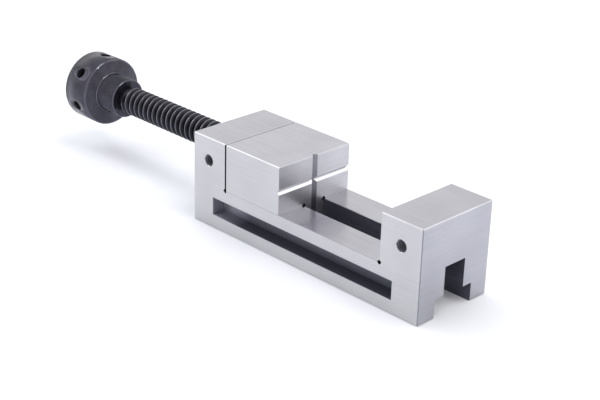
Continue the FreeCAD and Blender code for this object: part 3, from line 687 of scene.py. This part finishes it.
def lay_profile(tree, given, column, rise):
    """How far along the pitch a column of the grid lies, and how high."""
    calculate = calculator(tree)
    nearest = calculate("ROUND", calculate("MINIMUM", column, calculate("SUBTRACT", LAST_COLUMN, column)))
    past_middle = calculate("GREATER_THAN", column, LAST_COLUMN / 2)
    half_crest = calculate("DIVIDE", given["Crest Width"], 2.0)
    crest_flat = calculate("SUBTRACT", half_crest, given["Edge Round"])
    root_start = calculate("DIVIDE", calculate("SUBTRACT", given["Pitch"], given["Root Width"]), 2.0)
    half_pitch = calculate("DIVIDE", given["Pitch"], 2.0)
    drop = calculate("DIVIDE", given["Edge Round"], calculate("ABSOLUTE", rise))
    edge_level = calculate("SUBTRACT", 1.0, drop)
    offset = choose_by_number(tree, nearest, [0.0, crest_flat, half_crest, root_start, half_pitch])
    level = choose_by_number(tree, nearest, [1.0, 1.0, edge_level, 0.0, 0.0])
    mirrored = calculate("SUBTRACT", given["Pitch"], offset)
    mirroring = calculate("MULTIPLY", past_middle, calculate("SUBTRACT", mirrored, offset))
    return calculate("ADD", offset, mirroring), level


print("profile columns:", COLUMNS)

# %% [markdown]
# Now the grid is wrapped. It has three turns more than the length holds and begins two pitches early,
# so the helix is already whole at both ends, where everything beyond is pressed flat onto the end.
# There the thread fades to its root over a short taper, as the turner's chamfer does. With its crest
# nearer to the axis than its root, the same tree makes the thread inside a hole, and its faces are
# flipped to look at the axis.

# %% Wrap the profile into a thread
MORE_TURNS = 3.0
EARLY_TURNS = 2.0
SEAM = 0.002 * MM


def build_thread_tree():
    """The thread as a node group: lengths along X, about the spindle's axis."""
    tree, given = start_thread_tree()
    calculate = calculator(tree)
    length = calculate("SUBTRACT", given["End"], given["Start"])
    turns = calculate("ADD", calculate("CEIL", calculate("DIVIDE", length, given["Pitch"])), MORE_TURNS)
    steps = calculate("MULTIPLY_ADD", turns, float(SEGMENTS), 1.0)
    grid = add(tree, "GeometryNodeMeshGrid", {
        "Size X": 1.0, "Size Y": 1.0, "Vertices X": steps, "Vertices Y": COLUMNS,
    })
    place = add(tree, "ShaderNodeSeparateXYZ", {0: add(tree, "GeometryNodeInputPosition").outputs[0]})
    turned = calculate("MULTIPLY", calculate("ADD", place.outputs["X"], 0.5), turns)
    column = calculate("MULTIPLY", calculate("ADD", place.outputs["Y"], 0.5), LAST_COLUMN)
    rise = calculate("SUBTRACT", given["Crest Radius"], given["Root Radius"])
    along_profile, level = lay_profile(tree, given, column, rise)

    climbed = calculate("MULTIPLY", turned, given["Pitch"])
    shifted = calculate("ADD", given["Start"], given["Shift"])
    begin = calculate("SUBTRACT", shifted, calculate("MULTIPLY", given["Pitch"], EARLY_TURNS))
    free_x = calculate("ADD", calculate("ADD", begin, climbed), along_profile)
    x = calculate("MINIMUM", calculate("MAXIMUM", free_x, given["Start"]), given["End"])
    from_start = calculate("DIVIDE", calculate("SUBTRACT", x, given["Start"]), given["Taper"])
    from_end = calculate("DIVIDE", calculate("SUBTRACT", given["End"], x), given["Taper"])
    height = calculate("MINIMUM", level, calculate("MINIMUM", from_start, from_end))
    radius = calculate("MULTIPLY_ADD", rise, height, given["Root Radius"])
    angle = calculate("MULTIPLY", turned, math.tau)
    wrapped = add(tree, "ShaderNodeCombineXYZ", {
        "X": x,
        "Y": calculate("MULTIPLY", radius, calculate("COSINE", angle)),
        "Z": calculate("MULTIPLY_ADD", radius, calculate("SINE", angle), AXIS_Z),
    })

    shaped = add(tree, "GeometryNodeSetPosition", {
        "Geometry": grid.outputs["Mesh"], "Position": wrapped.outputs[0],
    })
    merged = add(tree, "GeometryNodeMergeByDistance", {"Geometry": shaped.outputs[0], "Distance": SEAM})
    faced = add(tree, "GeometryNodeFlipFaces", {"Mesh": merged.outputs[0], "Selection": given["Inside"]})
    real = add(tree, "GeometryNodeRealizeInstances", {"Geometry": faced.outputs[0]})
    steel = add(tree, "GeometryNodeSetMaterial", {"Geometry": real.outputs[0], "Material": given["Steel"]})
    add(tree, "NodeGroupOutput", {"Geometry": steel.outputs[0]})
    return tree


THREAD_TREE = build_thread_tree()
print("thread tree with", len(THREAD_TREE.nodes), "nodes")

# %% [markdown]
# A modifier runs the tree on an empty mesh. The result is then copied into a plain mesh, because only
# plain meshes travel to other programs. Faces are shaded smooth, with every edge sharper than
# 30 degrees kept crisp.

# %% Turn the tree into plain meshes
SHARP = math.radians(30)
SAME_PLACE = 0.001 * MM


def closed(mesh, turn_out=True):
    """The same mesh, merged at its seams and poles, facing outwards and smooth with crisp edges."""
    work = bmesh.new()
    work.from_mesh(mesh)
    bmesh.ops.remove_doubles(work, verts=work.verts, dist=SAME_PLACE)
    bmesh.ops.dissolve_degenerate(work, edges=work.edges, dist=SAME_PLACE)
    if turn_out:
        bmesh.ops.recalc_face_normals(work, faces=work.faces)
    open_edges = sum(1 for edge in work.edges if len(edge.link_faces) != 2)
    work.to_mesh(mesh)
    work.free()
    mesh.shade_smooth()
    mesh.set_sharp_from_angle(angle=SHARP)
    print(mesh.name, "has", len(mesh.polygons), "faces and", open_edges, "open edges")
    return mesh


def make_thread(name, steel, inside=False, **sizes):
    """A plain mesh of one thread, along the spindle's axis."""
    carrier = bpy.data.objects.new("thread carrier", bpy.data.meshes.new("thread carrier"))
    bpy.context.scene.collection.objects.link(carrier)
    modifier = carrier.modifiers.new("thread", "NODES")
    modifier.node_group = THREAD_TREE
    values = {key.replace("_", " ").title(): value for key, value in sizes.items()}
    values.update({"Inside": inside, "Steel": steel})
    for socket in THREAD_TREE.interface.items_tree:
        if socket.in_out == "INPUT" and socket.name in values:
            modifier[socket.identifier] = values[socket.name]
    seen = carrier.evaluated_get(bpy.context.evaluated_depsgraph_get())
    mesh = bpy.data.meshes.new_from_object(seen)
    mesh.name = name
    bpy.data.objects.remove(carrier)
    return mesh


def show(name, mesh, body):
    """An object for a finished mesh, riding on one of the moving bodies."""
    piece = bpy.data.objects.new(name, mesh)
    bpy.context.scene.collection.objects.link(piece)
    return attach(piece, body)


print("helpers ready; crisp above", round(math.degrees(SHARP)), "degrees")

# %% [markdown]
# ## The spindle
# On the real spindle the thread is cut into one bar, with a plain undercut beside the knob, where the
# turner's tool runs out, and a plain nose inside the jaw. The plain stretches are turned here as a profile
# of lengths and radii that is swept round the axis. The thread joins them at its root, and the whole is
# merged into one closed mesh.

# %% Turn a profile and join meshes
def lathe(name, profile):
    """A ring of faces for each step of a profile of (length, radius) pairs, about the spindle's axis."""
    points, faces = [], []
    for x, radius in profile:
        for number in range(SEGMENTS):
            angle = math.tau * number / SEGMENTS
            points.append((x, radius * math.cos(angle), AXIS_Z + radius * math.sin(angle)))
    for step in range(len(profile) - 1):
        for number in range(SEGMENTS):
            following = (number + 1) % SEGMENTS
            first, second = step * SEGMENTS, (step + 1) * SEGMENTS
            faces.append((first + number, first + following, second + following, second + number))
    mesh = bpy.data.meshes.new(name)
    mesh.from_pydata(points, [], faces)
    return mesh


def joined(name, meshes, steel):
    """One closed mesh out of several that meet."""
    points, faces = [], []
    for mesh in meshes:
        offset = len(points)
        points += [tuple(v.co) for v in mesh.vertices]
        faces += [tuple(offset + index for index in face.vertices) for face in mesh.polygons]
    whole = bpy.data.meshes.new(name)
    whole.from_pydata(points, [], faces)
    whole.materials.append(steel)
    return closed(whole)


print("round shapes have", SEGMENTS, "sides")

# %% [markdown]
# From the knob to the jaw the profile is: the journal in the knob, the undercut, the thread, and the nose
# with the groove that two dowels hold it by. The stretch beside the knob gets the knob's black, without the
# thread's oil and painted shade in its grooves.

# %% Make the spindle
KNOB_FACE = knob_high.x
JAW_BACK = jaw_low.x
THREAD_START = KNOB_FACE + 2.4 * MM
THREAD_END = JAW_BACK - 0.6 * MM
THREAD_SHIFT = -1.05 * MM
JOURNAL = 6.0 * MM
RUN_OUT = 5.7 * MM
NOSE = 5.0 * MM
NOSE_TIP = 4.4 * MM
TIP_START = spindle_high.x - 0.6 * MM
GROOVE_BOTTOM = 3.8 * MM
GROOVE_START = JAW_BACK + 7.65 * MM
GROOVE_END = JAW_BACK + 10.35 * MM
PLAIN = 1

journal = lathe("journal", [
    (spindle_low.x, 0), (spindle_low.x, JOURNAL), (KNOB_FACE, JOURNAL), (KNOB_FACE, RUN_OUT),
    (THREAD_START, RUN_OUT), (THREAD_START, ROOT),
])
nose = lathe("nose", [
    (THREAD_END, ROOT), (THREAD_END, NOSE), (GROOVE_START, NOSE), (GROOVE_START, GROOVE_BOTTOM),
    (GROOVE_END, GROOVE_BOTTOM), (GROOVE_END, NOSE), (TIP_START, NOSE),
    (spindle_high.x, NOSE_TIP), (spindle_high.x, 0),
])
thread = make_thread("cut thread", SPINDLE_BLACK, start=THREAD_START, end=THREAD_END, shift=THREAD_SHIFT)
spindle_mesh = joined("threaded_spindle", [journal, thread, nose], SPINDLE_BLACK)
spindle_mesh.materials.append(KNOB_BLACK)
for face in spindle_mesh.polygons:
    if face.center.x < THREAD_START:
        face.material_index = PLAIN
spindle_piece = show("threaded_spindle", spindle_mesh, "spindle")
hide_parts("spindle")

# %% [markdown]
# ## Round pieces that show
# A CAD solid arrives as loose flat triangles, so a round surface shows its facets. A copy with
# its corners merged can be shaded smooth, with the real edges kept crisp. It takes the solid's
# place, at the same size.

# %% Smooth the knob, the nut and the screws
def smooth_copy(node, name, body):
    """A merged and smoothly shaded copy that stands in for a round solid."""
    mesh = nodes[node].data.copy()
    mesh.name = name
    piece = show(name, closed(mesh, turn_out=False), body)
    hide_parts(node)


smooth_copy("handle_knob", "turned_knob", "spindle")
smooth_copy("spindle_nut", "turned_nut", "base")
for spot in ("rear", "front"):
    smooth_copy("hold_down_screw_" + spot, "cap_screw_" + spot, "jaw")

# %% [markdown]
# ## The nut's thread
# The nut's own thread fills the spindle's grooves, so it is the same helix moved by half a pitch, with its
# crest towards the axis. It is made a closed ring with an outer sleeve just inside the nut's metal, so
# that no open sheet of faces is left.

# %% Cut the nut's thread
BURIED = 0.06 * MM
NUT_START = nut_low.x + 1.0 * MM
NUT_END = nut_high.x - 0.3 * MM


def inner_thread(name, steel, start, end, root_radius, **sizes):
    """A closed ring with a thread on its inside."""
    thread = make_thread(name, steel, inside=True, start=start, end=end, root_radius=root_radius, **sizes)
    outside = root_radius + BURIED
    sleeve = lathe("sleeve", [(start, root_radius), (start, outside), (end, outside), (end, root_radius)])
    return joined(name, [thread, sleeve], steel)


pitch = THREAD_INPUTS["Pitch"]
half_turn_on = THREAD_START + THREAD_SHIFT + pitch / 2 - NUT_START
nut_mesh = inner_thread(
    "nut_thread", NUT_STEEL, NUT_START, NUT_END, root_radius=8.04 * MM, crest_radius=6.0 * MM,
    crest_width=1.2 * MM, root_width=1.5 * MM, shift=half_turn_on % pitch,
)
show("nut_thread", nut_mesh, "base")

# %% [markdown]
# ## The tapped holes
# The four holes in the sides take the screws of a work stop. Each is tapped 6 mm across with a pitch of
# 1 mm. The thread is cut only half a millimetre into the wall, so it shows as dark rings. The same tree
# cuts it: each one is made along the spindle's axis first, with its mouth at length 0, and then turned and
# moved to its side.

# %% Cut the threads of the side holes
HOLE_THREAD = {
    "start": 0.5 * MM, "end": 10.4 * MM, "root_radius": 2.99 * MM, "crest_radius": 2.48 * MM,
    "pitch": 1.0 * MM, "crest_width": 0.25 * MM, "root_width": 0.14 * MM, "edge_round": 0.04 * MM,
    "taper": 0.3 * MM,
}
for side, facing in (("near", -1), ("far", 1)):
    for end, hole_x in HOLE_PLACES.items():
        mesh = inner_thread("hole_thread_%s_%s" % (side, end), TAPPED_STEEL, **HOLE_THREAD)
        turn = Matrix.Rotation(math.radians(-90 * facing), 4, "Z")
        mouth = Vector((hole_x, facing * body_high.y, HOLE_Z))
        mesh.transform(Matrix.Translation(mouth) @ turn @ Matrix.Translation((0, 0, -AXIS_Z)))
        show(mesh.name, mesh, "base")
print("threads in the side holes:", 2 * len(HOLE_PLACES))

# %% [markdown]
# ## The floor
# The vise stands on white paper that runs out of sight. The paper keeps the vise's soft shadow. It gives
# off a little light of its own, but only to the camera and in mirrors, so it shows nearly white without
# throwing more light on the vise. A Light Path node tells such rays from those that only carry light.

# %% Lay the floor
FLOOR_REACH = 6.0
FLOOR_DROP = 0.02 * MM
FLOOR_GLOW = 0.08


def seen_directly(tree):
    """1 for rays that look straight, in a mirror or through glass, and 0 for rays that only carry light."""
    ray = add(tree, "ShaderNodeLightPath")
    unscattered = add(tree, "ShaderNodeMath", {
        0: ray.outputs["Diffuse Depth"], 1: 0.5,
    }, operation="LESS_THAN")
    mirrored = add(tree, "ShaderNodeMath", {
        0: ray.outputs["Is Camera Ray"], 1: ray.outputs["Is Glossy Ray"],
    }, operation="MAXIMUM")
    every = add(tree, "ShaderNodeMath", {
        0: mirrored.outputs[0], 1: ray.outputs["Is Transmission Ray"],
    }, operation="MAXIMUM")
    looking = add(tree, "ShaderNodeMath", {
        0: every.outputs[0], 1: unscattered.outputs[0],
    }, operation="MULTIPLY")
    return looking.outputs[0]


def make_floor():
    """A wide sheet of white paper."""
    ways = ((-1, -1), (1, -1), (1, 1), (-1, 1))
    corners = [(x * FLOOR_REACH, y * FLOOR_REACH, -FLOOR_DROP) for x, y in ways]
    mesh = bpy.data.meshes.new("paper_floor")
    mesh.from_pydata(corners, [], [(0, 1, 2, 3)])
    floor = bpy.data.objects.new("paper_floor", mesh)
    bpy.context.scene.collection.objects.link(floor)
    material, shader = start_material("white_paper", 0.0, 0.9)
    shader.inputs["Base Color"].default_value = linear("#F0F0F2")
    shader.inputs["Specular IOR Level"].default_value = 0.0
    shader.inputs["Emission Color"].default_value = linear("#FAFCFF")
    tree = material.node_tree
    glow = add(tree, "ShaderNodeMath", {0: seen_directly(tree), 1: FLOOR_GLOW}, operation="MULTIPLY")
    tree.links.new(glow.outputs[0], shader.inputs["Emission Strength"])
    mesh.materials.append(material)


make_floor()
print("floor reaches", FLOOR_REACH, "m each way")

# %% [markdown]
# ## The lamps
# The key light is a large soft box almost overhead, a little towards the fixed jaw, which puts the shadow
# under the knob and slightly to the left, as in the photograph. A small bright spotlight from the same
# side gives that shadow its darker core. Two weak lights only draw the slanted edges: in a mirror-like
# metal an edge is bright where it mirrors a lamp, so each lamp stands where one row of edges looks.

# %% Hang the lamps
AIM = Vector((0.04, 0, 0.02))
# each with its direction from the vise, its distance, its size and its brightness
LAMPS = {
    "overhead soft box": ((0.36, 0, 0.93), 2.2, 1.0, 4.4),
    "small spotlight": ((0.68, 0, 0.73), 1.3, 0.09, 57.0),
    "edge light from the front left": ((-0.64, -0.41, 0.65), 1.1, 0.4, 1.6),
    "edge light from the back right": ((0.41, 0.65, 0.64), 1.2, 0.5, 1.0),
}


def hang_lamp(name, way, distance, size, brightness):
    """A square lamp that looks at the vise; brightness is what a mirror shows of it, 1 being white."""
    lamp = bpy.data.lights.new(name, "AREA")
    lamp.size = size
    lamp.energy = brightness * math.pi * size ** 2
    holder = bpy.data.objects.new(name, lamp)
    bpy.context.scene.collection.objects.link(holder)
    way = Vector(way).normalized()
    turn = way.to_track_quat("Z", "Y").to_matrix().to_4x4()
    holder.matrix_world = Matrix.Translation(AIM + way * distance) @ turn


for name, settings in LAMPS.items():
    hang_lamp(name, *settings)
print("lamps:", ", ".join(LAMPS))

# %% [markdown]
# ## The tent
# Polished steel is photographed in a tent of white cloth, so that it has white to mirror on every side.
# Here the world is the tent. The camera and mirrors see it as plain white. The light that it throws is
# graded, from nothing on the fixed jaw's side to its full strength on the knob's side, and it leaves the
# floor before the end face in the vise's own shadow, as in the photograph.

# %% Set up the tent
AMBIENT = 0.98
SLOPE = 0.98
BRIGHTEST = (-1.0, 0.12, 0.0)
world = bpy.data.worlds.new("white_tent")
bpy.context.scene.world = world
world.use_nodes = True
tent = world.node_tree
thrown = tent.nodes["Background"]
thrown.inputs["Color"].default_value = linear("#F6F8FF")
way = add(tent, "ShaderNodeTexCoord")
toward_knob = add(tent, "ShaderNodeVectorMath", {
    0: way.outputs["Generated"], 1: Vector(BRIGHTEST).normalized(),
}, operation="DOT_PRODUCT")
graded = add(tent, "ShaderNodeMapRange", {
    "Value": toward_knob.outputs["Value"], "From Min": -1.0,
    "To Min": AMBIENT - SLOPE, "To Max": AMBIENT + SLOPE,
})
tent.links.new(graded.outputs[0], thrown.inputs["Strength"])
white = add(tent, "ShaderNodeBackground", {"Color": linear("#FFFFFF"), "Strength": 1.0})
choice = add(tent, "ShaderNodeMixShader", {
    0: seen_directly(tent), 1: thrown.outputs[0], 2: white.outputs[0],
})
tent.links.new(choice.outputs[0], tent.nodes["World Output"].inputs["Surface"])
bpy.context.scene.view_settings.view_transform = "Standard"
print("tent strength from", round(AMBIENT - SLOPE, 2), "to", round(AMBIENT + SLOPE, 2))
